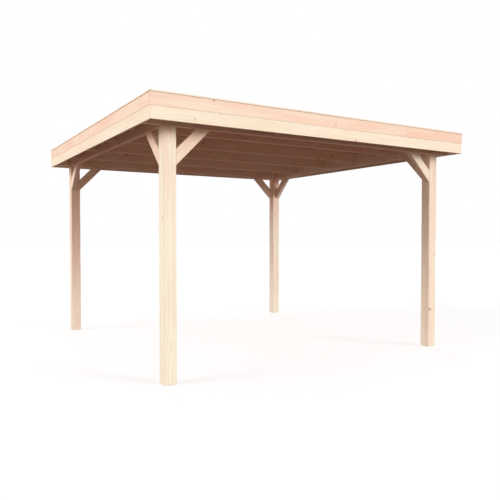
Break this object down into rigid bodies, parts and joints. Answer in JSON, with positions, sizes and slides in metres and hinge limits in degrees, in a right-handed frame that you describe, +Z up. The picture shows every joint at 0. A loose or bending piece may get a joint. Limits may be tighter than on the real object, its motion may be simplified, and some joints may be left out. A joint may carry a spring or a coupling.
{
  "type": "garden pavilion",
  "caption": "Open timber garden pavilion with a flat roof on corner posts, knee braces, ring beams, joists and a fascia of stacked boards",
  "frame": {"origin": "on the ground, under the middle of the roof", "axes": "+X to the right along the front, +Y to the back, +Z up; the roof falls towards +Y"},
  "size_m": [3.912, 3.912, 2.5502],
  "materials": {
    "timber": "planed softwood, untreated",
    "fascia": "planed softwood boards, untreated",
    "boards": "planed tongue-and-groove softwood boards",
    "roofing": "matt dark roofing sheet",
    "fixings": "bright zinc-plated countersunk screws"
  },
  "bodies": {
    "root": {"post_front_left": "timber", "post_front_right": "timber", "post_back_left": "timber", "post_back_right": "timber", "brace_front_left_across": "timber", "brace_front_left_along": "timber", "brace_front_right_across": "timber", "brace_front_right_along": "timber", "brace_back_left_across": "timber", "brace_back_left_along": "timber", "brace_back_right_across": "timber", "brace_back_right_along": "timber", "beam_front": "timber", "beam_back": "timber", "beam_left": "timber", "beam_right": "timber", "joist_1": "timber", "joist_2": "timber", "joist_3": "timber", "joist_4": "timber", "outriggers_front": "timber", "outriggers_back": "timber", "outriggers_left": "timber", "outriggers_right": "timber", "fascia_front_lower": "fascia", "fascia_front_upper": "fascia", "fascia_back_lower": "fascia", "fascia_back_upper": "fascia", "fascia_left_lower": "fascia", "fascia_left_upper": "fascia", "fascia_right_lower": "fascia", "fascia_right_upper": "fascia", "cap_front": "fascia", "cap_back": "fascia", "cap_left": "fascia", "cap_right": "fascia", "roof_boards": "boards", "roofing_sheet": "roofing"}
  },
  "joints": []
}
